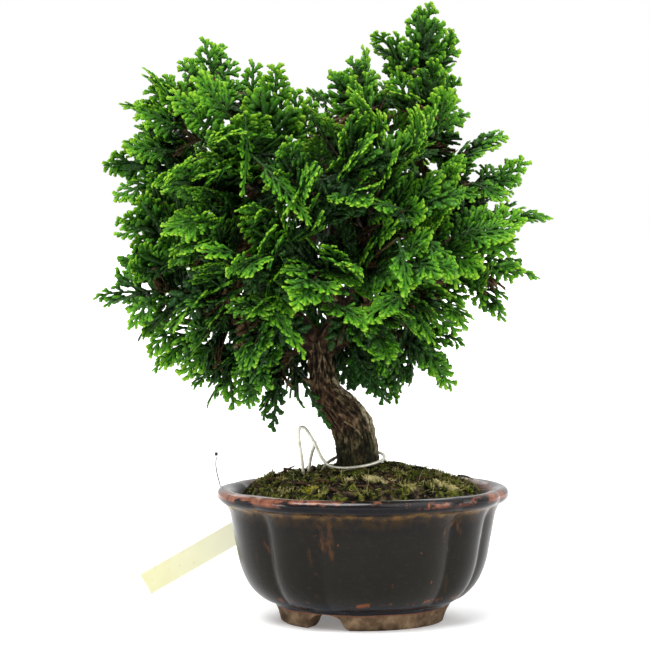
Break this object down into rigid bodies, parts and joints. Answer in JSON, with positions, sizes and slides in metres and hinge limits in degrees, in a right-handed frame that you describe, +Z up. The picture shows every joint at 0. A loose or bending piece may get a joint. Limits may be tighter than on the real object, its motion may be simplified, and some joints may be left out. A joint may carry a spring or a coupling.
{
  "type": "hinoki cypress bonsai",
  "caption": "Small potted hinoki cypress bonsai: leaning trunk, dense fan-shaped scale-leaf sprays, mossy soil, lobed and footed glazed pot, wire and plant label.",
  "frame": {"origin": "middle of the bounding box in X and Y, on the surface that the pot stands on", "axes": "+Z up, -Y towards the side of the tree that is seen first, +X to its right"},
  "size_m": [0.201, 0.1636, 0.2794],
  "materials": {
    "glaze": "dark tenmoku glaze, glossy, breaking to rust at the lip, bare clay at the foot",
    "mesh_plastic": "black moulded plastic mesh",
    "soil": "damp dark potting grit, matt",
    "moss": "living moss, soft and matt",
    "bark": "fissured grey-brown bark",
    "foliage": "scale leaves, satin, bright green tips over deeper green",
    "aluminium": "bare drawn wire, satin",
    "label_plastic": "thin cream plastic strip, slightly yellowed",
    "cap_plastic": "black plastic sleeve on the wire end"
  },
  "bodies": {
    "root": {"drain_mesh": "mesh_plastic", "foliage_back_1": "foliage", "foliage_back_10": "foliage", "foliage_back_2": "foliage", "foliage_back_3": "foliage", "foliage_back_4": "foliage", "foliage_back_5": "foliage", "foliage_back_6": "foliage", "foliage_back_7": "foliage", "foliage_back_8": "foliage", "foliage_back_9": "foliage", "foliage_droop_left": "foliage", "foliage_droop_right": "foliage", "foliage_front_centre": "foliage", "foliage_front_centre_left": "foliage", "foliage_front_centre_right": "foliage", "foliage_front_centre_top": "foliage", "foliage_front_left": "foliage", "foliage_front_left_low": "foliage", "foliage_front_left_top": "foliage", "foliage_front_left_upper": "foliage", "foliage_front_low": "foliage", "foliage_front_low_left": "foliage", "foliage_front_right": "foliage", "foliage_front_right_low": "foliage", "foliage_front_right_top": "foliage", "foliage_front_right_upper": "foliage", "foliage_front_upper": "foliage", "foliage_left_low": "foliage", "foliage_left_middle": "foliage", "foliage_left_shoulder": "foliage", "foliage_left_top": "foliage", "foliage_left_upper": "foliage", "foliage_low_left": "foliage", "foliage_low_left_front": "foliage", "foliage_low_right": "foliage", "foliage_right_low": "foliage", "foliage_right_middle": "foliage", "foliage_right_shoulder": "foliage", "foliage_right_tip": "foliage", "foliage_right_top": "foliage", "foliage_right_upper": "foliage", "foliage_spire": "foliage", "foliage_spire_side": "foliage", "label_wire": "aluminium", "label_wire_cap": "cap_plastic", "moss": "moss", "plant_label": "label_plastic", "pot": "glaze", "soil": "soil", "tie_wire": "aluminium", "tie_wire_stub": "aluminium", "trunk_and_branches": "bark"}
  },
  "joints": []
}
